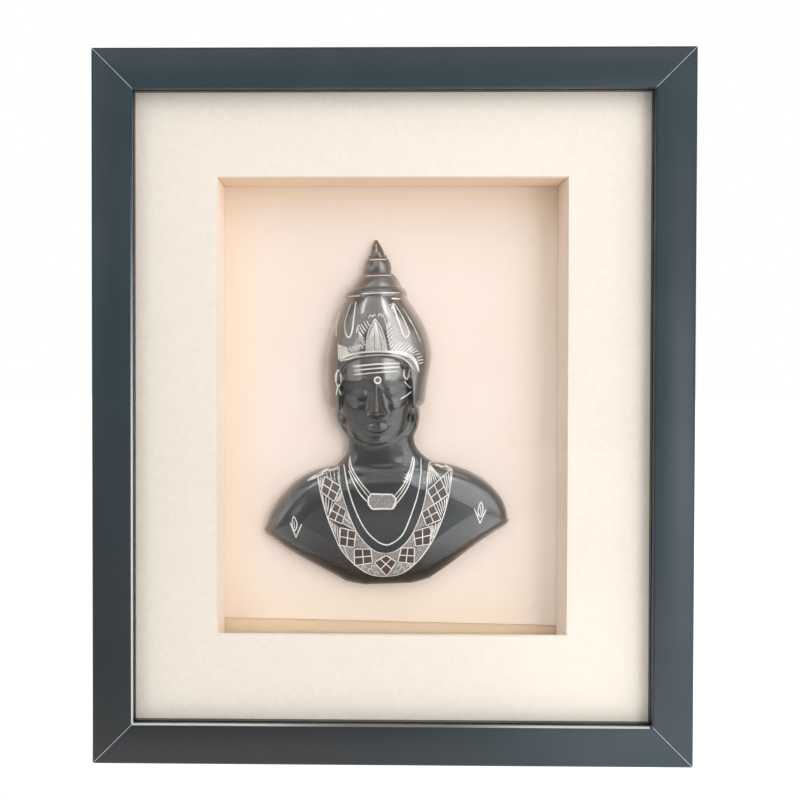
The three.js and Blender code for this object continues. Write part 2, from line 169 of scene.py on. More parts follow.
def meshObject(name, bm, material):
    mesh = bpy.data.meshes.new(name)
    bm.normal_update()
    bm.to_mesh(mesh)
    bm.free()
    mesh.materials.append(material)
    return linked(name, mesh)


# A new piece, smooth but for edges sharper than sharpAt degrees
def piece(name, bm, material, replaced=(), sharpAt=30):
    made = meshObject(name, bm, material)
    made.data.shade_smooth()
    made.data.set_sharp_from_angle(angle=math.radians(sharpAt))
    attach(made, "root")
    if replaced:
        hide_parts(*replaced)
    return made


# The verts, edges or faces among what an operator made
def pick(made, kind):
    return [item for item in made["geom"] if isinstance(item, kind)]


# The camera stands a little left of the frame's middle and above it
camera = {
    "x": -12.75, "y": -514.07, "z": 19.0,  # from the middle of the frame's front face
    "yaw": 0.926, "pitch": -0.918, "roll": -0.111, "lens": 50.2, "shiftX": 0.0665, "shiftY": -0.0191,
}


def makeCamera():
    data = bpy.data.cameras.new("camera")
    data.sensor_width = 36
    data.lens = camera["lens"]
    data.shift_x = camera["shiftX"]
    data.shift_y = camera["shiftY"]
    data.clip_start = 0.01
    made = linked("camera", data)
    made.location = (camera["x"] * mm, (frontY + camera["y"]) * mm, (outerHeight / 2 + camera["z"]) * mm)
    turns = (90 + camera["pitch"], camera["roll"], camera["yaw"])
    made.rotation_euler = [math.radians(turn) for turn in turns]
    bpy.context.scene.camera = made


makeCamera()
print("camera placed")


# Pale floor and soft studio light: wide boxes behind the camera, two tall windows, a bright wall to the
# right, a small window low on the left, a strip under the ceiling and a low fill. The lamps in pastRails
# leave no reflection on the frame, and those in pastGlass leave none on what lies behind the glass
studio = {
    "floorColour": (0.9, 0.9, 0.9), "floorDim": (0.36, 0.36, 0.36),
    "glowFront": 0.10, "glowBack": 1.0, "glowRight": 5.6, "glowSide": 1.4,
    "floorWidth": 8.0, "floorFront": -2.0, "floorBack": 6.0, "world": (0.31, 0.285, 0.26),
    "lamps": [
        # name, middle in metres, width, height, radiance
        ("box_top", (0.0, -1.2, 1.16), 9.0, 1.08, 0.63),
        ("box_left", (-1.66, -1.2, 0.395), 1.88, 0.45, 0.63),
        ("box_right", (1.475, -1.2, 0.395), 2.25, 0.45, 0.63),
        ("window_left", (-0.80, -1.18, 1.36), 0.24, 0.72, 2.8),
        ("window_right", (0.50, -1.18, 1.33), 0.22, 0.56, 2.8),
        ("wall_right", (0.625, -1.19, 0.85), 0.47, 1.44, 1.6),
        ("wall_far", (1.43, -1.19, 0.85), 1.14, 1.44, 1.0),
        ("window_low", (-0.90, -1.18, 0.38), 0.40, 0.34, 0.9),
        ("rail_glow", (0.67, -1.18, 0.07), 0.48, 0.26, 7.2),
        ("ceiling_strip", (0.35, -0.82, 1.75), 2.4, 0.14, 2.8),
        ("low_fill", (0.1, -0.9, 0.22), 1.5, 0.4, 1.72),
    ],
    "aimed": ("ceiling_strip",),
    "pastRails": ("low_fill", "wall_right", "wall_far", "box_right"),
    "pastGlass": ("low_fill", "rail_glow"),
}


# The floor glows as painted light: white near the frame, dimmer towards the camera, with a bright glowing
# patch to the right; its colour is also darker towards the camera as painted shade
def paleFloor():
    x, y = axes("XY")
    glow = studio["glowFront"] + (studio["glowBack"] - studio["glowFront"]) * y.step(-0.15, 0.05)
    front = y.fall(-0.06, 0.0)
    right = studio["glowRight"] * x.step(0.04, 0.24) * y.step(-0.42, -0.24)
    right = right + studio["glowSide"] * x.step(0.24, 0.4)
    return {
        "Base Color": blend(y.step(-0.7, -0.3), studio["floorDim"], studio["floorColour"]),
        "Roughness": 0.9,
        "Specular IOR Level": 0.0,
        "Emission Color": blend(glow + right * front, (0, 0, 0), (1, 1, 1)),
        "Emission Strength": 1.0,
    }


# The camera sees plain white past the floor, and the frame is lit by a soft warm grey
def makeWorld():
    world = bpy.data.worlds.new("studio")
    world.use_nodes = True
    Wire.tree = world.node_tree
    Wire.tree.nodes.clear()
    lit = Wire.node("Background", None, studio["world"])
    seen = Wire.node("Background", None, (1, 1, 1))
    mixed = Wire.node("MixShader", None, Wire.node("LightPath", out="Is Camera Ray"), lit, seen)
    end = Wire.tree.nodes.new("ShaderNodeOutputWorld")
    Wire.tree.links.new(mixed.socket, end.inputs[0])
    bpy.context.scene.world = world


def makeLamp(name, at, width, height, radiance):
    data = bpy.data.lights.new(name, "AREA")
    data.shape = "RECTANGLE"
    data.size = width
    data.size_y = height
    data.energy = radiance * math.pi * width * height
    lamp = linked(name, data)
    lamp.location = at
    aim = Vector((0, 1, 0))
    if name in studio["aimed"]:
        aim = Vector((0, 0, outerHeight / 2 * mm)) - lamp.location
    lamp.rotation_euler = aim.to_track_quat("-Z", "Y").to_euler()
    lamp.visible_glossy = name not in studio["pastRails"]
    lamp.visible_transmission = name not in studio["pastGlass"]


def makeFloor():
    bm = bmesh.new()
    bmesh.ops.create_grid(bm, x_segments=2, y_segments=2, size=0.5)
    depth = studio["floorBack"] - studio["floorFront"]
    bmesh.ops.scale(bm, verts=bm.verts, vec=(studio["floorWidth"], depth, 1))
    bmesh.ops.translate(bm, verts=bm.verts, vec=(0, studio["floorFront"] + depth / 2, 0))
    meshObject("floor", bm, finish("pale_floor", paleFloor))


bpy.context.scene.view_settings.view_transform = "Standard"
makeWorld()
for lampRow in studio["lamps"]:
    makeLamp(*lampRow)
makeFloor()
print("floor and lamps placed")


# Finishes. Colours are linear

# What the window shows of the card, and how far its painted warm shade reaches in from each side
backing = {
    "halfWidth": 82.0, "low": 59.6, "high": 274.0,
    "leftReach": 26.0, "rightReach": 24.0, "footReach": 34.0, "topReach": 22.0,
}


# Painted highlight: the bevel along the left and lower sides of the opening is made pale, fading up the left
# side and brightest towards the ends of the lower side
def paintedEdgeHighlight():
    x, y, z = axes()
    left = x + outerWidth / 2 * mm
    start, end, low = 0.0183, 0.01905, 0.0187
    upright = left.step(start, start + 0.0001) * left.fall(end, end + 0.0001)
    upright = upright * z.step(low, low + 0.0002) * z.fall(0.12, 0.29)
    level = z.step(start, start + 0.0001) * z.fall(end, end + 0.0001)
    level = level * left.step(low, low + 0.0002) * x.fall(0.119, 0.1195)
    level = level * (0.3 + 0.7 * abs(x - 0.002).step(0.02, 0.075))
    return (upright + level) * y.fall((frontY + 2.2) * mm, (frontY + 2.35) * mm)


def paintedWood():
    grain = noise(1.1, 4, 0.6)
    colour = blend(noise(38, 2, 0.5).step(0.35, 0.65), (0.012, 0.027, 0.038), (0.016, 0.032, 0.043))
    x, z = axes("XZ")
    # Painted shade: the rails are darker towards the lower left
    colour = blend(z.fall(0.0, 0.2) * x.fall(-0.04, 0.12), colour, (0.010, 0.013, 0.016))
    return {
        # Painted highlight along the bevel of the opening
        "Base Color": blend(paintedEdgeHighlight(), colour, (0.52, 0.55, 0.55)),
        "Roughness": 0.33 + 0.08 * grain,
        "Normal": bump(grain, 0.012),
    }


def rawMitre():
    grain = noise(0.5, 3)
    return {"Base Color": blend(grain, (0.40, 0.45, 0.48), (0.56, 0.60, 0.62)), "Roughness": 0.8}


def pictureGlass():
    return {"Base Color": (1, 1, 1), "Roughness": 0.0, "Transmission Weight": 1.0, "IOR": 1.2}


def blackPlastic():
    return {"Base Color": (0.012, 0.013, 0.014), "Roughness": 0.3 + 0.1 * noise(2.5, 2)}


# Dull paper or board with bumps up to depth millimetres high
def paper(colour, rough, sheen, height, depth):
    return {"Base Color": colour, "Roughness": rough, "Specular IOR Level": sheen,
            "Normal": bump(height, depth)}


# Cream mat paper with a fine tooth; the cut edge of the window shows the paler core
def matPaper():
    y = axes("Y")[0]
    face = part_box("mat_board")[0].y
    colour = blend(noise(2.2, 3, 0.6).step(0.3, 0.7), (0.83, 0.765, 0.685), (0.86, 0.80, 0.72))
    colour = blend(y.step(face + 0.0001, face + 0.00025), colour, (0.87, 0.81, 0.72))
    return paper(colour, 0.92, 0.2, noise(0.35, 4, 0.6), 0.02)


# Painted shade: the top strip is made warmer and darker; painted light: the left strip is made paler
def foamWall():
    x, z = axes("XZ")
    fibre = noise(1.4, 3, 0.6, stretch=(1, 0.3, 1))
    colour = blend(fibre, (0.90, 0.78, 0.67), (0.93, 0.82, 0.71))
    top = z.step((backing["high"] - 1.5) * mm, backing["high"] * mm)
    colour = blend(x.fall(-0.0815, -0.081), colour, (0.95, 0.83, 0.72))
    return paper(blend(top, colour, (0.94, 0.72, 0.55)), 0.95, 0.1, fibre, 0.05)


# Pinkish card with painted shade towards the edges of the window: warmer and darker along the left and top
# edges, less along the others, and paler low on the right as painted light
def backingPaper():
    x, z = axes("XZ")
    left = (x + backing["halfWidth"] * mm).step(0.0, backing["leftReach"] * mm)
    right = (backing["halfWidth"] * mm - x).step(0.0, backing["rightReach"] * mm)
    foot = (z - backing["low"] * mm).step(0.0, backing["footReach"] * mm)
    top = (backing["high"] * mm - z).step(0.0, backing["topReach"] * mm)
    colour = blend(noise(40, 2, 0.5).step(0.3, 0.7), (0.87, 0.755, 0.68), (0.88, 0.775, 0.71))
    paler = blend((z.step(0.13, 0.25) + right).clamped(), (0.95, 0.87, 0.81), (0.92, 0.81, 0.70))
    paintedWarmShade = blend((left * top).clamped(), (0.87, 0.73, 0.595), paler)
    colour = blend((left * right * foot * top).clamped(), paintedWarmShade, colour)
    return paper(colour, 0.95, 0.1, noise(0.4, 4, 0.6), 0.02)


def tanBoard():
    fibre = noise(3.0, 4, 0.7, stretch=(0.25, 1, 1))
    fleck = noise(0.7, 2)
    colour = blend(fibre, (0.78, 0.62, 0.44), (0.86, 0.70, 0.52))
    colour = blend(fleck.step(0.62, 0.7) * 0.4, colour, (0.45, 0.31, 0.18))
    return paper(colour, 0.9, 0.2, fibre + fleck, 0.05)


def brightSteel():
    brushed = noise(0.5, 3, 0.6, stretch=(0.08, 1, 1))
    return {"Base Color": (0.56, 0.57, 0.58), "Metallic": 1.0, "Roughness": 0.28 + 0.18 * brushed,
            "Normal": bump(brushed, 0.01)}


# Blackened zinc casting, oiled and polished. Its colour holds painted reflections: a grey veil over the
# crown, the forehead and the flaps beside the face, pale patches at the ends of the shoulders, pale rims
# towards the edge against the card; and painted shade, darker and browner towards the foot
metal = {
    "black": ((0.050, 0.056, 0.061), (0.062, 0.068, 0.074)), "pit": (0.012, 0.014, 0.016),
    # The forehead and crown tones are a painted reflection, a grey veil that is paler on the right of the
    # crown
    "forehead": (0.172, 0.169, 0.166), "crown": ((0.188, 0.185, 0.182), (0.285, 0.278, 0.272)),
    # The painted veil darkens up the tiers
    "tiers": [
        # from, to, tone above
        (0.216, 0.222, (0.15, 0.147, 0.144)),
        (0.225, 0.231, (0.115, 0.113, 0.111)),
        (0.235, 0.2375, (0.06, 0.058, 0.056)),
    ],
    # The two shoulder-end tones are painted reflections
    "leftShoulderReflection": (0.088, 0.090, 0.092), "rightShoulderReflection": (0.062, 0.066, 0.074),
    # The edge tone is a painted reflection of the card on the rims; the foot tone is painted shade with a
    # warm tinge
    "edge": (0.50, 0.485, 0.47), "foot": (0.030, 0.024, 0.020),
}


def blackMetal():
    x, y, z = axes()
    cloud = noise(14, 3, 0.5)
    pits = noise(0.9, 2).step(0.75, 0.82)
    tiers = z.step(0.216, 0.222)
    torso = z.fall(0.146, 0.152)
    foot = z.fall(0.086, 0.108)

    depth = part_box("bust")[1].y - y + (cloud - 0.5) * 0.004
    onCrown = z.step(0.158, 0.185)
    edge = 0.04 + 0.3 * abs(x).step(0.012, 0.035)
    # Painted reflection of the card: paler rims low against it, most on the crown and towards the sides, less
    # at the tip
    rimReflection = depth.fall(0.003, 0.0125) * (edge * (1.0 - onCrown) + onCrown)
    rimReflection = rimReflection * (1.0 - 0.8 * z.step(0.225, 0.231))

    # Painted reflection: a grey veil with a crisp lower edge over the crown and forehead and down the flaps
    # beside the face
    crown = blend(x.step(-0.012, 0.012), *metal["crown"])
    crown = blend(z.step(0.186, 0.194), metal["forehead"], crown)
    for low, high, tone in metal["tiers"]:
        crown = blend(z.step(low, high), crown, tone)
    across = abs(x + 0.0075 + 0.038 * (z - 0.174))
    side = across.step(0.0176, 0.0184) * z.step(0.1646, 0.1656)
    colour = blend((z.step(0.1778, 0.1794) + side).clamped(), blend(cloud, *metal["black"]), crown)
    # Painted reflections: pale patches with straight edges at the ends of the shoulders
    leftShoulderReflection = (0.664 * (z - 0.1175) - x - 0.0493).step(-0.0006, 0.0006) * x.fall(-0.0488, -0.0476)
    rightShoulderReflection = (x - 0.0292 + 0.549 * (z - 0.126)).step(-0.0006, 0.0006) * x.step(0.0286, 0.0298)
    colour = blend(leftShoulderReflection, colour, metal["leftShoulderReflection"])
    colour = blend(rightShoulderReflection * z.fall(0.15, 0.16), colour, metal["rightShoulderReflection"])
    colour = blend(rimReflection, colour, metal["edge"])
    # Painted shade with a warm tinge: darker and browner towards the foot
    colour = blend(foot * (1.0 - rimReflection), colour, metal["foot"])
    return {
        "Base Color": blend(0.4 * pits, colour, metal["pit"]),
        "Metallic": 0.9,
        "Roughness": 0.13 + 0.07 * cloud + 0.05 * pits + 0.16 * tiers + 0.15 * torso,
        "Normal": bump(noise(9, 2, 0.4), 0.02),
        "Coat Weight": 1.0 - 0.75 * foot,
        "Coat Roughness": 0.06,
        "Coat IOR": 1.6,
    }


def silverWire():
    beaten = noise(0.55, 3, 0.6)
    return {
        "Base Color": blend(noise(5, 2).step(0.35, 0.7), (0.84, 0.82, 0.79), (0.64, 0.62, 0.59)),
        "Metallic": 0.45,
        "Roughness": 0.34 + 0.2 * beaten,
        "Normal": bump(beaten, 0.03),
    }


# Areas of silver that are stippled so that the black ground shows between the grains
def silverGround():
    stipple = noise(0.42, 2, 0.7)
    return {
        "Base Color": blend(stipple.step(0.40, 0.60), (0.13, 0.12, 0.12), (0.42, 0.40, 0.385)),
        "Metallic": 0.4,
        "Roughness": 0.42 + 0.2 * noise(4, 2),
        "Normal": bump(stipple, 0.05),
    }


# The squares of the collar are left duller and browner than the polish round them
def squareGround():
    colour = blend(axes("Z")[0].step(0.094, 0.122), (0.050, 0.025, 0.016), (0.098, 0.083, 0.075))
    return {"Base Color": colour, "Roughness": 0.38 + 0.1 * noise(3, 2)}


finishes = {
    "rail": finish("painted_wood", paintedWood, (0.06, 0.08, 0.09)),
    "mitre": finish("raw_mitre", rawMitre),
    "glass": finish("picture_glass", pictureGlass),
    "spacer": finish("black_plastic", blackPlastic),
    "mat": finish("mat_paper", matPaper),
    "wall": finish("foam_wall", foamWall),
    "card": finish("backing_paper", backingPaper),
    "board": finish("tan_board", tanBoard),
    "steel": finish("bright_steel", brightSteel),
    "bust": finish("black_metal", blackMetal),
    "silver": finish("silver_wire", silverWire),
    "ground": finish("silver_ground", silverGround),
    "square": finish("square_ground", squareGround),
}
print("finishes made")


# Finish of each frame node, by its name or by the first word of it
nodeFinishes = {
    "glass_pane": "glass", "mat_board": "mat", "backing_card": "card", "backing_board": "board",
    "back_panel": "board", "hanger": "steel", "spacer": "spacer", "wall": "wall", "point": "steel",
}


def dressNodes():
    for name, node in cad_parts.items():
        kind = name if name in nodeFinishes else name.split("_")[0]
        if kind in nodeFinishes:
            for held in node.material_slots:
                held.material = finishes[nodeFinishes[kind]]
    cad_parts["glass_pane"].visible_shadow = False


dressNodes()
print("frame nodes dressed")


# Rails: the same section as the solids, cut finer, mitred with a hairline of raw wood showing
rail = {
    "face": 19.0, "lip": 6.5, "lipThickness": 4.0, "depth": 45.0, "crown": 0.7, "edge": 1.6, "bevel": 0.7,
    "gap": 0.3, "fillerSunk": 0.04, "roundSteps": 8, "faceSteps": 16, "lengthSteps": 24,
}


def railOutline():
    face, edge, bevel, crown = rail["face"], rail["edge"], rail["bevel"], rail["crown"]
    points = []
    for i in range(rail["roundSteps"] + 1):
        turn = math.pi / 2 * i / rail["roundSteps"]
        points.append((edge * (1 - math.cos(turn)), crown + edge * (1 - math.sin(turn))))
    for i in range(1, rail["faceSteps"] + 1):
        across = i / rail["faceSteps"]
        points.append((edge + (face - edge - bevel) * across, crown * (1 - 4 * across * (1 - across))))
    lipIn, lipBack, back = face - rail["lip"], rail["lipThickness"], rail["depth"]
    return points + [(face, crown + bevel), (face, lipBack), (lipIn, lipBack), (lipIn, back), (0.0, back)]


def railMesh(length, turn, x, z):
    bm = bmesh.new()
    faces = [bm.faces.new([bm.verts.new((0, frontY + back, inward)) for inward, back in railOutline()])]
    steps = rail["lengthSteps"]
    for i in range(steps):
        made = bmesh.ops.extrude_face_region(bm, geom=faces)
        bmesh.ops.translate(bm, verts=pick(made, BMVert), vec=(1, 0, 0))
        if i:
            bmesh.ops.delete(bm, geom=faces, context="FACES_ONLY")
        faces = pick(made, BMFace)
    for vert in bm.verts:
        along = 2 * vert.co.x / steps - 1
        vert.co.x = along * (length / 2 - vert.co.z - rail["gap"] / 2)
    bmesh.ops.recalc_face_normals(bm, faces=bm.faces)
    cosT, sinT = math.cos(turn), math.sin(turn)
    for vert in bm.verts:
        px, py, pz = vert.co
        vert.co = ((x + px * cosT + pz * sinT) * mm, py * mm, (z - px * sinT + pz * cosT) * mm)
    return bm


def makeRails():
    middle = outerHeight / 2
    sides = [
        ("bottom", outerWidth, 0.0, 0.0, 0.0),
        ("right", outerHeight, -math.pi / 2, outerWidth / 2, middle),
        ("top", outerWidth, math.pi, 0.0, outerHeight),
        ("left", outerHeight, math.pi / 2, -outerWidth / 2, middle),
    ]
    for side, length, turn, x, z in sides:
        piece(f"frame_{side}", railMesh(length, turn, x, z), finishes["rail"], [f"rail_{side}"])


# Filler in each mitre, a hair below the painted faces
def makeMitres():
    for number, (sideX, sideZ) in enumerate(((-1, -1), (1, -1), (1, 1), (-1, 1)), 1):
        bm = bmesh.new()
        flat = bm.faces.new([bm.verts.new((inward, back, 0)) for inward, back in railOutline()])
        made = bmesh.ops.extrude_face_region(bm, geom=[flat])
        bmesh.ops.translate(bm, verts=pick(made, BMVert), vec=(0, 0, 1))
        sunk = rail["fillerSunk"]
        for vert in bm.verts:
            inward, back, side = vert.co
            spread = (side - 0.5) * 0.98 * rail["gap"] / 2
            inward = min(max(inward, sunk), rail["face"] - sunk)
            back = max(back, sunk) + (sunk if back < rail["depth"] / 2 else -sunk)
            acrossX = min(outerWidth / 2 - inward + spread, outerWidth / 2 - sunk)
            acrossZ = min(outerHeight / 2 - inward - spread, outerHeight / 2 - sunk)
            vert.co = (sideX * acrossX * mm, (frontY + back) * mm, (outerHeight / 2 + sideZ * acrossZ) * mm)
        bmesh.ops.recalc_face_normals(bm, faces=bm.faces)
        piece(f"mitre_fill_{number}", bm, finishes["mitre"])


makeRails()
makeMitres()
print("rails cut")


# The casting, in its own upright frame: x across from the crown's axis, z up from the cut edge
bust = {
    "lean": math.radians(2.2), "footX": -1.2, "footZ": 78.7, "rim": 2.4, "seam": 0.12, "columns": 216,
    "rows": {"torso": 0.6, "throat": 0.45, "face": 0.3, "band": 0.16, "crown": 0.5, "tier": 0.32},
}
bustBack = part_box("bust")[1].y / mm

shoulder = {"foot": 29, "rise": 30.1, "inner": 20, "reach": 39.4, "power": 1.75}
neck = {"narrowest": 71, "width": 15.8, "flare": 0.055}
dome = {"foot": 110, "width": 26.2, "fall": 0.0262, "power": 1.76}
stages = [
    # from, to, a form or the half widths at both ends and the swell between them, spacing of the rows
    (0, 2.4, (11, 20.6, 0.8), "tier"),
    (2.4, 25.2, (20.6, 55.9, 0.8), "torso"),
    (25.2, 31, (56, 59.3, 2.0), "tier"),
    (31, 59, shoulder, "torso"),
    (59, 72, neck, "throat"),
    (72, 86, (15.9, 20.8, 1.6), "face"),
    (86, 89.5, (20.9, 23.8, 0.6), "face"),
    (89.5, 110, (24.0, 26.2, 0.1), "face"),
    (110, 113.2, dome, "band"),
    (113.2, 140.6, dome, "crown"),
    (140.6, 145.2, (15.7, 13.2, 0.7), "tier"),
    (145.2, 152, (12.5, 7.6, 0.7), "tier"),
    (152, 159.9, (6.6, 4.7, 0.9), "tier"),
    (159.9, 161.2, (4.5, 4.3, 0.1), "tier"),
    (161.2, 169, (3.5, 0.5, 0.45), "tier"),
]
drifts = [(44, 14, 1.45), (18, 8, -1.6), (90, 18, -2.4), (138, 9, -1.3), (160, 9, 0.8)]  # at, reach, by


def hump(value, centre, reach):
    return np.exp(-((value - centre) / reach) ** 2)


def smoothStep(low, high, value):
    t = np.clip((value - low) / (high - low), 0, 1)
    return t * t * (3 - 2 * t)


def softMax(a, b, spread):
    return (a + b + np.hypot(a - b, spread)) / 2


def softMin(a, b, spread):
    return -softMax(-a, -b, spread)


def quarterRound(distance, radius):
    away = 1 - np.clip(distance / radius, 0, 1)
    return np.sqrt(1 - away * away)


def stageWidth(base, top, form, z):
    if form is shoulder:
        t = min(max((z - form["foot"]) / form["rise"], 0), 1)
        return form["inner"] + form["reach"] * math.sqrt(1 - t ** form["power"])
    if form is neck:
        return form["width"] + form["flare"] * (form["narrowest"] - z) ** 2
    if form is dome:
        return form["width"] - form["fall"] * max(z - form["foot"], 0) ** form["power"]
    low, high, swell = form
    t = (z - base) / (top - base)
    return low + (high - low) * t + swell * 4 * t * (1 - t)


def middleLine(z):
    return sum(by * math.exp(-((z - at) / reach) ** 2) for at, reach, by in drifts)


def bustRows():
    rows = []
    for number, (base, top, form, spacing) in enumerate(stages):
        low = base + (bust["seam"] if number else 0)
        high = top - (bust["seam"] if number < len(stages) - 1 else 0)
        count = max(2, round((high - low) / bust["rows"][spacing]))
        for i in range(count + 1):
            z = low + (high - low) * i / count
            rows.append((z, stageWidth(base, top, form, z), middleLine(z)))
    return np.array(rows)


# Distance from points of one row to the outline
def edgeDistance(x, z, outline):
    nearest = np.full(x.shape, max(z, 0.0))
    near = outline[np.abs(outline[:, 0] - z) < 24][::3]
    for side in (-1, 1):
        ends = np.column_stack([near[:, 2] + side * near[:, 1], near[:, 0]])
        a, b = ends[:-1], ends[1:]
        run = b - a
        toX = x[:, None] - a[None, :, 0]
        toZ = z - a[None, :, 1]
        t = np.clip((toX * run[:, 0] + toZ * run[:, 1]) / np.maximum((run ** 2).sum(1), 1e-9), 0, 1)
        away = np.hypot(toX - t * run[:, 0], toZ - t * run[:, 1])
        nearest = np.minimum(nearest, away.min(1))
    return nearest


# Opening of the crown round the face, and the face's own thirds: hairline, brow, nose and chin
face = {"middle": -2.6, "halfWidth": 17.6, "bandTop": 112.4, "bandDrop": 0.0125, "chin": 67.0, "third": 15.6}
brow = face["chin"] + 2 * face["third"]
noseBase = face["chin"] + face["third"]
mouthLine = noseBase - face["third"] / 3
eyeLine = brow - face["third"] / 4
eyeWidth = (2 * face["halfWidth"] + 2) / 5


def insideOpening(x, z):
    across = x - face["middle"]
    top = face["bandTop"] - face["bandDrop"] * across * across
    return softMin(face["halfWidth"] - np.abs(across), top - z, 5)


def crownHeight(x, z, width, middle):
    ratio = 0.66 + 0.2 * smoothStep(105, 165, z)
    u = np.clip(np.abs((x - middle) / width), 0, 1)
    return min(bust["rim"], width * 0.6) + ratio * width * np.sqrt(1 - u * u)


def browForm(side, z):
    height = 0.8 * hump(z, brow + 6, 7) * hump(side, 0, 12)
    line = brow + 1.5 - 0.035 * (side - 6.5) ** 2
    along = smoothStep(0.5, 4.5, side) * (1 - smoothStep(8.5, 15, side))
    return height + 0.9 * along * hump(z, line, 2.6)


# Closed lids: a smooth swell in each socket with the lash line across its lower part
def eyeForm(side, z):
    out = side - eyeWidth
    height = -1.9 * hump(out, 0, 5.6) * hump(z, eyeLine + 0.3, 4.2)
    height -= 0.7 * hump(side, 3.2, 2.0) * hump(z, eyeLine + 0.8, 3.0)
    height += 1.9 * hump(out, 0, 3.9) * hump(z, eyeLine - 0.1, 2.5)
    lash = eyeLine - 1.5 + 0.075 * out ** 2
    within = 1 - smoothStep(3.2, 4.6, np.abs(out))
    height += 0.22 * within * smoothStep(-0.35, 0.1, z - lash) * (1 - smoothStep(0.4, 1.8, z - lash))
    height -= 0.2 * within * hump(z, lash - 0.25, 0.3)
    height -= 0.12 * within * hump(z, eyeLine + 2.4 - 0.08 * out ** 2, 0.4)
    return height


def noseForm(side, z):
    down = smoothStep(brow, noseBase + 2, z)
    ridge = 1.4 + 2.7 * down
    base = noseBase - 0.5 + 0.08 * side ** 2
    under = smoothStep(-1.1, 1.7, z - base) * (1 - smoothStep(brow - 3, brow + 6, z))
    height = ridge * under * hump(side, 0, 2.2 + 0.9 * down)
    height += 0.8 * hump(side, 0, 2.2) * hump(z, noseBase + 2.0, 2.1)
    height += 1.3 * hump(side, 3.2, 1.6) * hump(z, noseBase + 1.8, 1.7)
    height -= 0.3 * hump(side, 1.9, 0.7) * hump(z, noseBase + 0.1, 0.6)
    return height


# Closed lips that meet at a fine crease
def mouthForm(side, z):
    lipHalf = 0.78 * eyeWidth
    full = np.sqrt(np.maximum(1 - (side / lipHalf) ** 2, 0))
    seam = mouthLine - 0.2 * hump(side, 0, 1.2) + 0.45 * np.minimum(side / lipHalf, 1) ** 2
    above = (z - seam) / (1.9 * full + 0.3 + 0.35 * hump(side, 1.4, 0.9))
    below = (seam - z) / (2.5 * full + 0.3)
    away = np.clip(np.maximum(above, below), 0, 1)
    height = 1.0 * full * (1 - away ** 2) ** 1.2
    height += 0.6 * hump(side, 0, 6.5) * hump(z, mouthLine, 3.4)
    height -= 0.3 * np.sqrt(full) * hump(z, seam, 0.24)
    height -= 0.3 * hump(side, lipHalf + 0.3, 0.9) * hump(z, mouthLine + 0.5, 0.9)
    height -= 0.6 * hump(side, 0, 5.0) * hump(z, mouthLine - 4.2, 1.6)
    height -= 0.2 * hump(side, 0, 0.9) * hump(z, mouthLine + 3.3, 1.2)
    return height


def faceForm(x, z):
    side = np.abs(x - face["middle"])
    cheeks = 1.2 * hump(side, 9.8, 4.6) * hump(z, noseBase + 3.6, 5)
    chin = 1.8 * hump(side, 0, 4.6) * hump(z, face["chin"] + 3.4, 3)
    return browForm(side, z) + eyeForm(side, z) + noseForm(side, z) + mouthForm(side, z) + cheeks + chin


def faceHeight(x, z):
    side = (x - face["middle"]) / (face["halfWidth"] + 1.6)
    jaw = (z - (brow - 4)) / (46 if z > brow - 4 else 28.5)
    oval = 1 - side * side - jaw * jaw
    inside = np.maximum(oval, 1e-6)
    height = 3 + 14 * inside ** 0.36 + faceForm(x, z) * smoothStep(0, 0.25, inside)
    return np.where(oval > 0, height, 0)


def neckHeight(x, z, middle):
    u = np.clip(np.abs((x - middle) / 17), 0, 1)
    return bust["rim"] + 8.6 * np.sqrt(1 - u * u) * smoothStep(50, 60, z) * (1 - smoothStep(84, 92, z))


def earHeight(x, z, middle):
    out = np.abs(x - middle) - 19
    lobe = 4.6 * hump(out, 0, 2.2) * hump(z, 80.5, 4.4)
    return lobe - 1.3 * hump(out, -0.2, 0.8) * hump(z, 81, 2.8)


def torsoHeight(x, z, edge):
    across = 1 - np.minimum((x / 62) ** 2, 1)
    chest = 4.6 * across * (1 - smoothStep(48, 64, z)) * smoothStep(0, 16, edge)
    collarbone = 0.7 * hump(z, 56.5 - 0.02 * np.abs(x), 1.6) * hump(np.abs(x), 16, 9)
    return bust["rim"] + 6.6 * quarterRound(edge, 7) + chest + collarbone * smoothStep(2, 6, edge)


def bustHeight(x, z, width, middle, outline):
    crown = crownHeight(x, z, width, middle)
    if z > face["bandTop"] + 1:
        return crown
    edge = edgeDistance(x, z, outline)
    body = softMax(torsoHeight(x, z, edge), neckHeight(x, z, middle), 1.2)
    if z < 60:
        return body
    flaps = smoothStep(85.6, 87.4, z)
    ears = (1 - flaps) * earHeight(x, z, middle) * quarterRound(edge, 3)
    head = softMax(body + ears, faceHeight(x, z), 0.8)
    inside = insideOpening(x, z)
    opened = smoothStep(-0.9, 0.7, inside)
    shell = crown * flaps + body * (1 - flaps)
    return head * opened + (shell + ears) * (1 - opened)


def toWorld(x, height, z):
    cosL, sinL = math.cos(bust["lean"]), math.sin(bust["lean"])
    return np.column_stack([
        bust["footX"] + x * cosL - z * sinL,
        bustBack - height,
        bust["footZ"] + x * sinL + z * cosL,
    ]) * mm


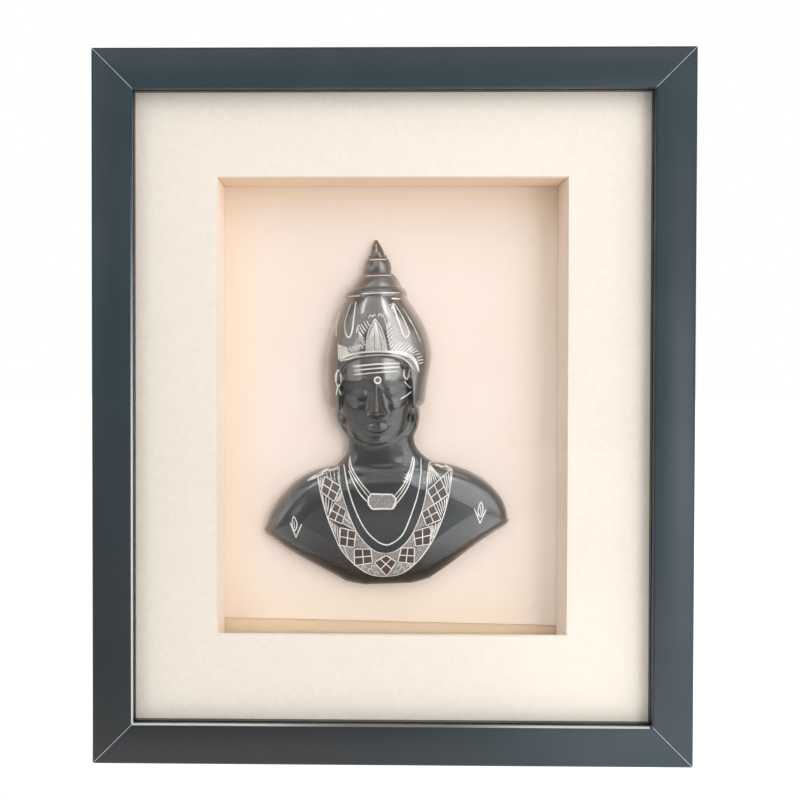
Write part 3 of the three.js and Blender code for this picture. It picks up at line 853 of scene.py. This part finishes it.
def makeBust():
    rows = bustRows()
    columns = bust["columns"]
    bm = bmesh.new()
    bmesh.ops.create_grid(bm, x_segments=columns, y_segments=len(rows) - 1, size=1.0)
    made = bmesh.ops.extrude_edge_only(bm, edges=[edge for edge in bm.edges if edge.is_boundary])
    bmesh.ops.translate(bm, verts=pick(made, BMVert), vec=(0, 0, -1))
    backEdges = [edge for edge in pick(made, BMEdge) if edge.is_boundary]
    bmesh.ops.holes_fill(bm, edges=backEdges, sides=0)
    grid = np.array([vert.co[:] for vert in bm.verts])
    row = np.rint((grid[:, 1] + 1) / 2 * (len(rows) - 1)).astype(int)
    u = 0.72 * grid[:, 0] + 0.28 * np.sin(math.pi / 2 * grid[:, 0])
    z, width, middle = rows[row].T
    x = middle + u * width
    height = np.zeros(len(x))
    for number, (rowZ, rowWidth, rowMiddle) in enumerate(rows):
        here = np.flatnonzero((row == number) & (grid[:, 2] > -0.5))
        height[here] = bustHeight(x[here], rowZ, rowWidth, rowMiddle, rows)
    for vert, co in zip(bm.verts, toWorld(x, height, z)):
        vert.co = co
    bm.normal_update()
    bmesh.ops.triangulate(bm, faces=[flat for flat in bm.faces if len(flat.verts) > 4])
    bmesh.ops.recalc_face_normals(bm, faces=bm.faces)
    return piece("bust_cast", bm, finishes["bust"], ["bust"], sharpAt=38)


bustPiece = makeBust()
print("bust cast", len(bustPiece.data.polygons))

# Silver wire laid flush in the casting. Points are x and z in the bust's own frame
inlay = {
    "wire": 0.5, "fine": 0.4, "pitch": 0.7, "wireStands": 0.035, "groundStands": 0.02, "sunk": 0.2,
    "groundPitch": 0.9, "rayFrom": 60.0, "rimHeight": 2.0,
}
surface = BVHTree.FromPolygons([vert.co for vert in bustPiece.data.vertices],
                               [tuple(flat.vertices) for flat in bustPiece.data.polygons])


# A point of the casting's face, standing out from it by a hair
def onBust(x, z, stands):
    hit, normal = surface.ray_cast(Vector(toWorld(x, inlay["rayFrom"], z)[0]), Vector((0, 1, 0)))[:2]
    if hit is None:
        hit, normal = surface.find_nearest(Vector(toWorld(x, inlay["rimHeight"], z)[0]))[:2]
    if normal.y > 0:
        normal = -normal
    return hit + normal * stands * mm, normal


# Smooth line through a few points, as evenly spaced samples
def smoothLine(points, closed=False, pitch=None):
    pitch = pitch or inlay["pitch"]
    points = [np.array(point, float) for point in points]
    if len(points) == 2:
        count = max(1, round(np.linalg.norm(points[1] - points[0]) / pitch))
        return [points[0] + (points[1] - points[0]) * i / count for i in range(count + 1)]
    ring = [points[-1], *points, points[0], points[1]] if closed else [points[0], *points, points[-1]]
    made = []
    for a, b, c, d in zip(ring, ring[1:], ring[2:], ring[3:]):
        count = max(1, round(np.linalg.norm(c - b) / pitch))
        for i in range(count):
            t = i / count
            made.append(0.5 * (2 * b + (c - a) * t + (2 * a - 5 * b + 4 * c - d) * t ** 2
                               + (3 * b - a - 3 * c + d) * t ** 3))
    return made + [made[0] if closed else points[-1]]


# What the normals of laid verts are kept under
def place(vert):
    return tuple(round(value, 7) for value in vert.co)


# Turns laid faces into thin solids set into the metal
def sink(bm, faces, normals):
    for vert in pick(bmesh.ops.extrude_face_region(bm, geom=faces), BMVert):
        vert.co -= normals[place(vert)] * inlay["sunk"] * mm


# One wire: a narrow strip along a line, thinner at its ends unless it closes on itself
def lay(bm, points, width=inlay["wire"], ends=0.45, closed=False):
    line = smoothLine(points, closed)
    steps = len(line) - 1
    verts = bmesh.ops.create_grid(bm, x_segments=steps, y_segments=2, size=0.5)["verts"]
    faces = list({face for vert in verts for face in vert.link_faces})
    widths = np.atleast_1d(width)
    normals = {}
    for vert in verts:
        i = round((vert.co.x + 0.5) * steps)
        side = vert.co.y
        before = line[max(i - 1, 0)] if not closed else line[(i - 1) % steps]
        after = line[min(i + 1, steps)] if not closed else line[(i + 1) % steps]
        run = after - before
        run = run / max(np.linalg.norm(run), 1e-9)
        t = i / steps
        wide = np.interp(t, np.linspace(0, 1, len(widths)), widths)
        if not closed:
            wide *= 1 - (1 - ends) * abs(2 * t - 1) ** 6
        spot = line[i] + np.array([-run[1], run[0]]) * side * wide
        vert.co, normal = onBust(spot[0], spot[1], inlay["wireStands"] * (1 if side else 1.5))
        normals[place(vert)] = normal
    if closed:
        bmesh.ops.remove_doubles(bm, verts=verts, dist=1e-7)
        faces = list({face for face in faces if face.is_valid})
    sink(bm, faces, normals)


# Strokes between matching places on two lines
def comb(bm, starts, ends, count, width=inlay["fine"]):
    first, last = smoothLine(starts, pitch=0.2), smoothLine(ends, pitch=0.2)
    for i in range(count):
        t = i / (count - 1)
        lay(bm, [first[round(t * (len(first) - 1))], last[round(t * (len(last) - 1))]], width)


# Two by two squares ruled by wires
def lattice(bm, corners):
    topLeft, topRight, lowRight, lowLeft = (np.array(corner, float) for corner in corners)
    for t in (0, 0.5, 1):
        for a, b, c, d in ((topLeft, lowLeft, topRight, lowRight), (topLeft, topRight, lowLeft, lowRight)):
            lay(bm, [a + (b - a) * t, c + (d - c) * t], ends=0.8)


# Flush area inside an outline
def ground(bm, outline):
    patch = bmesh.new()
    patch.faces.new([patch.verts.new((x, 0, z)) for x, z in outline])
    bmesh.ops.triangulate(patch, faces=patch.faces)
    long = patch.edges[:]
    while long:
        bmesh.ops.subdivide_edges(patch, edges=long, cuts=1)
        bmesh.ops.triangulate(patch, faces=patch.faces)
        long = [edge for edge in patch.edges if edge.calc_length() > inlay["groundPitch"]]
    normals = {}
    for vert in patch.verts:
        vert.co, normal = onBust(vert.co.x, vert.co.z, inlay["groundStands"])
        normals[place(vert)] = normal
    sink(patch, patch.faces[:], normals)
    laid = bpy.data.meshes.new("patch")
    patch.to_mesh(laid)
    patch.free()
    bm.from_mesh(laid)
    bpy.data.meshes.remove(laid)


def inlayPiece(name, bm, finishName="silver"):
    bmesh.ops.recalc_face_normals(bm, faces=bm.faces)
    piece(name, bm, finishes[finishName], sharpAt=50)


# A piece with more wires and combs. Each row holds what lay() or comb() takes after the mesh
def wirePiece(name, bm, wires, combs=()):
    for row in wires:
        lay(bm, *row)
    for row in combs:
        comb(bm, *row)
    inlayPiece(name, bm)


# A piece of flush areas
def groundPiece(name, outlines, finishName="ground"):
    bm = bmesh.new()
    for outline in outlines:
        ground(bm, outline)
    inlayPiece(name, bm, finishName)


# Collar: two borders, nine ruled units and the wedges between them
collar = {
    "outerLeft": [(-32.4, 54.4), (-31.0, 46.5), (-28.3, 35.6), (-25.3, 26.8), (-21.7, 18.6), (-16.5, 12.3),
                  (-10.8, 7.6), (-6.0, 5.5), (-0.5, 4.9)],
    "outerRight": [(33.3, 55.0), (31.0, 44.6), (28.4, 35.3), (24.4, 26.0), (20.4, 19.4), (15.6, 13.2),
                   (9.6, 7.9), (4.6, 5.5), (-0.5, 4.9)],
    "innerLeft": [(-21.7, 58.8), (-21.6, 51.2), (-20.0, 43.8), (-17.3, 34.8), (-14.2, 27.4), (-10.9, 22.7),
                  (-7.6, 19.3), (-4.2, 17.3), (-0.5, 16.7)],
    "innerRight": [(22.0, 59.2), (20.8, 52.5), (20.0, 45.6), (17.2, 35.7), (13.2, 27.0), (9.8, 22.0),
                   (6.6, 19.2), (3.2, 17.3), (-0.5, 16.7)],
    "units": [
        # upper left, upper right, lower right, lower left
        [(-28.8, 54.5), (-21.2, 49.6), (-24.6, 42.6), (-30.8, 47.2)],
        [(-24.4, 41.9), (-18.9, 38.1), (-21.2, 31.6), (-27.9, 34.8)],
        [(-22.0, 29.8), (-14.6, 27.8), (-15.8, 20.0), (-22.8, 21.3)],
        [(-15.8, 19.3), (-7.8, 19.1), (-7.1, 12.3), (-15.9, 11.0)],
        [(7.0, 19.1), (13.3, 18.9), (12.9, 11.0), (5.0, 12.3)],
        [(13.1, 26.8), (21.9, 29.1), (20.8, 20.4), (13.8, 19.6)],
        [(17.4, 35.8), (23.3, 39.5), (26.6, 32.1), (19.4, 29.4)],
        [(20.6, 46.2), (27.2, 51.6), (30.3, 43.8), (23.6, 39.5)],
        [(-6.3, 12.4), (-0.5, 15.8), (4.4, 12.3), (-0.5, 5.1)],
    ],
    "wedges": [
        [(-20.9, 48.9), (-24.4, 42.6), (-19.0, 38.3), (-20.0, 43.6)],
        [(-18.7, 37.6), (-21.0, 31.7), (-14.8, 28.0), (-17.0, 34.2)],
        [(-14.4, 27.3), (-15.6, 20.0), (-8.2, 19.4), (-11.0, 22.7)],
        [(-7.6, 19.0), (-6.9, 12.7), (-6.1, 12.7), (-0.6, 16.2), (-4.2, 17.2)],
        [(-22.6, 21.0), (-16.1, 19.9), (-16.2, 11.4), (-21.4, 18.4)],
        [(-15.6, 10.8), (-7.2, 12.0), (-6.4, 12.1), (-0.9, 5.2), (-6.0, 5.8), (-10.8, 7.9)],
        [(-0.4, 16.2), (4.6, 12.7), (5.0, 12.7), (6.8, 18.9), (3.2, 17.2)],
        [(7.3, 19.4), (13.4, 19.3), (13.0, 26.4), (9.8, 21.9)],
        [(13.5, 27.2), (19.1, 29.3), (17.3, 35.2), (15.4, 31.2)],
        [(17.6, 36.5), (23.2, 39.7), (20.5, 45.8), (19.0, 40.6)],
        [(13.5, 18.8), (20.4, 20.0), (17.6, 16.0), (13.2, 11.4)],
        [(4.6, 11.9), (12.6, 10.8), (9.6, 8.2), (4.6, 5.8), (-0.2, 5.2)],
        [(21.6, 24.6), (22.0, 28.8), (26.4, 31.4), (24.3, 26.2)],
    ],
    "lines": [
        # bright bars along the tops of the shoulders
        ([(-37.4, 52.6), (-32.0, 55.1), (-27.0, 57.2), (-21.8, 58.6)], [1.0, 1.7, 1.9, 1.5], 0.5),
        ([(22.3, 59.3), (28.0, 57.6), (33.4, 55.0)], [1.3, 2.1, 1.8], 0.6),
        ([(21.9, 59.0), (24.6, 55.4), (27.4, 51.6)], 0.5),
        ([(27.2, 51.6), (29.2, 53.0), (31.4, 54.8)], 0.5),
        ([(-20.6, 20.6), (-19.6, 17.6), (-18.6, 14.8)], 0.4),
    ],
    # strokes in the wedges, upper ones bold
    "strokes": [
        ([(-31.9, 54.4), (-29.6, 54.6)], [(-31.4, 49.8), (-30.6, 48.6)], 3),
        ([(-28.2, 56.4), (-22.4, 57.8)], [(-27.4, 54.0), (-22.2, 51.2)], 4),
        ([(-30.2, 46.2), (-25.4, 42.9)], [(-29.4, 39.8), (-27.3, 35.8)], 4, 0.5),
        ([(-26.8, 33.7), (-22.3, 30.0)], [(-26.3, 30.4), (-23.3, 22.9)], 6),
        ([(-21.7, 42.8), (-24.0, 41.9)], [(-20.9, 47.4), (-23.4, 43.4)], 4),
        ([(-18.6, 36.6), (-20.9, 32.0)], [(-17.4, 33.6), (-16.4, 29.2)], 3),
        ([(21.7, 58.2), (23.2, 56.9)], [(20.7, 48.0), (26.4, 51.4)], 6),
        ([(28.8, 53.2), (32.4, 54.4)], [(30.2, 45.6), (31.9, 49.0)], 4),
        ([(24.6, 40.2), (29.8, 42.8)], [(26.9, 33.6), (29.2, 38.6)], 5, 0.5),
        ([(20.2, 29.4), (25.8, 31.0)], [(22.0, 26.6), (24.2, 26.4)], 4),
        ([(22.6, 28.6), (25.4, 28.6)], [(21.6, 22.6), (22.6, 23.2)], 3),
    ],
    # small scrolls each side of the lowest unit: out, up, size
    "scrolls": [(4.6, 7.0, 1.3), (7.6, 8.6, 1.5), (10.8, 10.2, 1.2), (6.4, 10.6, 1.1)],
}


def makeCollar():
    bm = bmesh.new()
    for side in ("Left", "Right"):
        lay(bm, collar["outer" + side], inlay["wire"] * 1.1)
        lay(bm, collar["inner" + side], inlay["fine"])
    for corners in collar["units"]:
        lattice(bm, corners)
    for side in (-1, 1):
        for out, z, size in collar["scrolls"]:
            x, reach = side * out - 0.6, side * size
            lay(bm, [(x - reach, z - size * 0.6), (x, z + size * 0.5), (x + reach, z - size * 0.1),
                     (x + reach * 0.3, z - size * 0.7)], inlay["fine"] * 0.85)
    wirePiece("inlay_collar", bm, collar["lines"], collar["strokes"])
    groundPiece("inlay_collar_ground", collar["wedges"])
    groundPiece("inlay_collar_squares", collar["units"], "square")


# Two necklaces: three short strands to a pendant, and one long strand below them
necklaces = {
    "strands": [
        ([(-16.2, 64.0), (-15.6, 58.4), (-11.6, 51.5), (-6.9, 45.6)], 0.62),
        ([(-16.3, 63.4), (-16.7, 58.5), (-13.6, 52.3), (-8.1, 44.3)], 0.5),
        ([(-17.0, 57.0), (-15.3, 52.1), (-11.9, 45.8), (-8.5, 41.8)], 0.62),
        ([(14.4, 62.6), (12.4, 56.2), (9.1, 49.6), (4.7, 44.4)], 0.62),
        ([(14.6, 60.6), (13.6, 56.8), (10.0, 49.0), (5.2, 42.4)], 0.5),
        ([(14.7, 62.0), (14.5, 57.9), (11.0, 48.1), (5.0, 40.0)], 0.62),
        ([(-19.4, 59.8), (-17.6, 48.4), (-13.9, 36.4), (-9.8, 28.2), (-5.2, 23.2), (-1.6, 21.1), (1.4, 21.0),
          (5.9, 23.6), (9.0, 27.5), (13.0, 36.7), (15.9, 45.0), (17.7, 54.1), (18.3, 61.5)],
         [1.0, 0.7, 0.6, 0.6, 0.6, 0.6, 0.55, 0.7]),
    ],
    "strokes": [
        ([(10.2, 54.4), (8.8, 51.4)], [(12.6, 52.8), (11.4, 50.2)], 3),
        ([(11.6, 55.8), (10.4, 53.0)], [(11.0, 51.6), (13.4, 54.2)], 2),
        ([(3.2, 38.4), (4.2, 39.2)], [(4.8, 41.6), (5.2, 42.4)], 2, 0.5),
    ],
    "pendant": [(-8.0, 43.9), (-6.4, 45.6), (3.2, 45.0), (5.1, 43.2), (5.0, 40.0), (3.4, 38.2),
                (-6.2, 38.4), (-8.1, 40.6)],
}


def makeNecklaces():
    bm = bmesh.new()
    pendant = necklaces["pendant"]
    ring = [point for a, b in zip(pendant, pendant[1:] + pendant[:1])
            for point in (a, ((a[0] + b[0]) / 2, (a[1] + b[1]) / 2))]
    lay(bm, ring, 0.75, closed=True)
    wirePiece("inlay_necklaces", bm, necklaces["strands"], necklaces["strokes"])
    groundPiece("inlay_pendant", [pendant])


# Crown: headband, flame with a comb of strokes each side, narrow leaves, and a line on each tier
crownInlay = {
    "headband": [
        ([(-19.4, 110.2), (-15.9, 112.3), (-10.7, 113.6), (-5.1, 114.0), (0.9, 113.9), (6.4, 113.5),
          (10.7, 112.7), (14.3, 111.2), (16.9, 108.4), (18.5, 103.6)],
         [0.7, 0.7, 0.8, 0.8, 0.8, 0.9, 1.6, 2.0, 1.7, 1.0], 0.4),
        ([(-19.4, 110.1), (-15.9, 110.8), (-10.7, 111.8), (-5.2, 112.2), (0.8, 112.3), (6.3, 111.7),
          (10.6, 110.3), (13.7, 108.0), (16.0, 104.8)], [0.6, 0.8, 0.8, 0.7, 0.6, 0.55, 0.4], 0.6),
    ],
    "flameLeft": [(-6.7, 114.3), (-6.1, 119.8), (-4.6, 125.0), (-1.7, 129.2)],
    "flameRight": [(3.5, 114.0), (2.4, 120.8), (0.6, 126.0), (-1.7, 129.2)],
    "rays": 19, "leftOut": (8, 14),
    "lines": [
        ([(2.3, 130.8), (3.6, 126.0), (4.3, 120.6), (5.3, 115.4)], 0.35),
        ([(-10.6, 124.6), (-10.2, 126.4), (-9.0, 126.8)], 0.5),
        ([(-10.9, 123.0), (-10.8, 124.4), (-9.4, 125.2)], 0.45),
        ([(-2.9, 127.6), (-1.8, 129.6), (-0.7, 127.9)], 0.45),
        # narrow leaves, the right one crossed at its tip
        ([(-10.6, 138.4), (-11.7, 131.8), (-12.9, 124.4), (-14.5, 121.2), (-16.1, 123.4), (-16.3, 128.2),
          (-15.0, 132.6), (-13.2, 137.6)], [0.9, 0.7, 0.75, 0.8, 0.6, 0.4, 0.3, 0.3]),
        ([(7.4, 137.2), (10.3, 132.4), (12.6, 127.5), (14.3, 122.7), (12.9, 120.1), (11.4, 122.0),
          (9.7, 127.2), (7.0, 136.6)], [0.45, 0.5, 0.5, 0.55, 0.7, 0.85, 0.9, 0.7]),
        ([(-18.6, 134.0), (-20.4, 128.0), (-20.8, 122.0)], 0.3),
        ([(14.2, 129.6), (17.2, 124.4), (19.8, 117.6)], 0.3),
        ([(11.8, 134.4), (15.6, 127.8), (18.2, 121.4)], 0.3),
        ([(6.5, 139.3), (10.8, 139.0)], 0.8),
        ([(0.2, 167.0), (0.2, 162.6)], 0.35),
    ],
    "strokes": [
        # comb right of the flame, then those on its left
        ([(3.3, 125.2), (3.7, 119.6), (5.4, 114.4), (10.8, 113.6), (15.6, 112.6), (18.0, 109.9),
          (18.5, 107.6)],
         [(5.2, 127.9), (6.6, 122.6), (8.6, 118.8), (13.2, 117.6), (17.8, 114.6), (20.6, 110.6),
          (20.8, 108.0)], 18, 0.42),
        ([(-5.9, 128.9), (-7.8, 128.2), (-9.3, 126.3)],
         [(-4.4, 126.2), (-5.9, 124.3), (-7.2, 122.6)], 4, 0.45),
        ([(-10.2, 124.4), (-9.9, 122.8), (-10.1, 121.0)],
         [(-8.0, 121.6), (-7.0, 119.4), (-6.9, 117.0)], 4, 0.45),
        ([(-14.9, 116.4), (-11.9, 117.6), (-9.2, 118.0)],
         [(-13.4, 114.2), (-10.4, 115.0), (-7.6, 115.6)], 8, 0.36),
        ([(-15.2, 115.0), (-8.4, 116.6)], [(-13.8, 116.9), (-7.6, 117.8)], 5, 0.3),
        # hatched end of the headband on the left
        ([(-20.1, 118.0), (-20.2, 111.0)], [(-15.4, 116.2), (-15.0, 112.8)], 8, 0.5),
        ([(-19.9, 118.6), (-17.4, 116.9), (-14.2, 114.0)],
         [(-19.9, 110.6), (-17.6, 111.0), (-14.2, 112.6)], 6, 0.5),
        # crossed tip of the right leaf
        ([(5.4, 136.4), (6.6, 133.4)], [(7.8, 134.6), (8.2, 132.6)], 3),
        ([(7.9, 137.0), (6.6, 137.2)], [(6.0, 133.8), (8.6, 132.6)], 2),
    ],
    # hooks over the flame: x, z, size
    "hooks": [(-4.0, 130.6, 0.75), (-2.2, 130.9, 0.7), (0.6, 131.1, 0.75), (2.0, 130.6, 0.6)],
    # lines on the tiers: left, right, z
    "tierLines": [(-3.4, 5.2, 158.9), (-5.6, 7.0, 150.9), (-7.8, 10.9, 142.1), (-14.2, -8.6, 141.2)],
    "grounds": [
        [(-6.5, 114.5), (-6.0, 119.8), (-4.5, 124.9), (-1.7, 128.8), (0.5, 125.8), (2.3, 120.8),
         (3.4, 114.2)],
        [(-19.9, 118.2), (-20.2, 111.2), (-17.4, 110.6), (-14.2, 113.0), (-15.6, 115.8)],
    ],
}


# Rays that fan out inside the flame, longest in its middle
def layRays(bm):
    left, right = (smoothLine(crownInlay["flame" + side], pitch=0.2) for side in ("Left", "Right"))
    for i in range(1, crownInlay["rays"]):
        if i in crownInlay["leftOut"]:
            continue
        t = i / crownInlay["rays"]
        reach = 0.93 - 0.75 * abs(2 * t - 1) ** 2.2
        top = round(reach * (len(left) - 1))
        lay(bm, [left[k] + (right[min(k, len(right) - 1)] - left[k]) * t for k in (0, top // 2, top)], 0.3)


def makeCrownInlay():
    bm = bmesh.new()
    lay(bm, crownInlay["flameLeft"], inlay["fine"])
    lay(bm, crownInlay["flameRight"], inlay["fine"])
    layRays(bm)
    for x, z, size in crownInlay["hooks"]:
        lay(bm, [(x - size, z - size), (x - size * 0.4, z + size), (x + size, z + size * 0.7),
                 (x + size * 0.3, z)], 0.4)
    for left, right, z in crownInlay["tierLines"]:
        lay(bm, [(left, z - 0.1), ((left + right) / 2, z), (right, z - 0.1)], 0.45)
    wirePiece("inlay_crown", bm, crownInlay["headband"] + crownInlay["lines"], crownInlay["strokes"])
    groundPiece("inlay_crown_ground", crownInlay["grounds"])


# Marks on the forehead and leaves at the temples
forehead = {
    "wires": [
        ([(-13.4, 107.3), (-2.0, 108.0), (9.5, 108.0)], 0.75, 0.6),
        ([(-13.0, 105.4), (-2.0, 106.0), (9.2, 106.3)], 0.65, 0.6),
        ([(-12.8, 103.3), (-2.0, 104.0), (8.6, 104.3)], 0.5, 0.6),
        ([(-20.3, 106.2), (-21.4, 103.6), (-21.7, 99.8)], [0.6, 1.1, 0.7]),
        ([(-20.1, 106.0), (-19.2, 103.0), (-19.4, 99.4)], [0.5, 0.8, 0.5]),
        ([(-21.3, 99.6), (-20.4, 96.4), (-19.5, 93.7)], 0.7),
        ([(-19.6, 99.2), (-21.2, 96.4), (-21.8, 93.5)], 0.6),
        ([(11.5, 105.2), (11.2, 102.4), (12.4, 99.8)], [0.5, 0.9, 0.6]),
        ([(14.0, 105.0), (13.6, 102.4), (12.6, 99.9)], [0.5, 0.9, 0.6]),
        ([(11.2, 99.4), (12.8, 97.4), (14.4, 95.8)], 0.5),
        ([(14.6, 94.2), (12.0, 92.4), (9.1, 90.9)], 0.5),
    ],
    "ring": (-1.6, 100.3, 1.5),  # x, z and radius
}


def makeForeheadInlay():
    bm = bmesh.new()
    x, z, radius = forehead["ring"]
    turns = np.linspace(0, 2 * math.pi, 12, endpoint=False)
    lay(bm, [(x + radius * math.cos(turn), z + radius * math.sin(turn)) for turn in turns], 0.75, closed=True)
    wirePiece("inlay_forehead", bm, forehead["wires"])


# A small leaf between two arms on each shoulder: foot of the arms, and the side it leans to
shoulderLeaves = [(-43.9, 25.2, -1), (45.5, 29.0, 1)]


def makeShoulderInlay():
    bm = bmesh.new()
    for x, z, side in shoulderLeaves:
        lean = 0.4 * side
        lay(bm, [(x - 2.6, z + 7.6), (x - 1.2, z + 4.0), (x, z)], 0.55)
        lay(bm, [(x + 3.2, z + 6.8), (x + 1.6, z + 3.6), (x, z)], 0.55)
        lay(bm, [(x + lean, z + 3.4), (x - 1.2 + lean, z + 6.2), (x + lean * 2, z + 10.4),
                 (x + 1.3 + lean, z + 7.0)], 0.5, closed=True)
        lay(bm, [(x + lean, z + 4.6), (x + lean * 1.6, z + 8.6)], 0.3)
    inlayPiece("inlay_shoulders", bm)


makeCollar()
makeNecklaces()
makeCrownInlay()
makeForeheadInlay()
makeShoulderInlay()
print("silver laid")
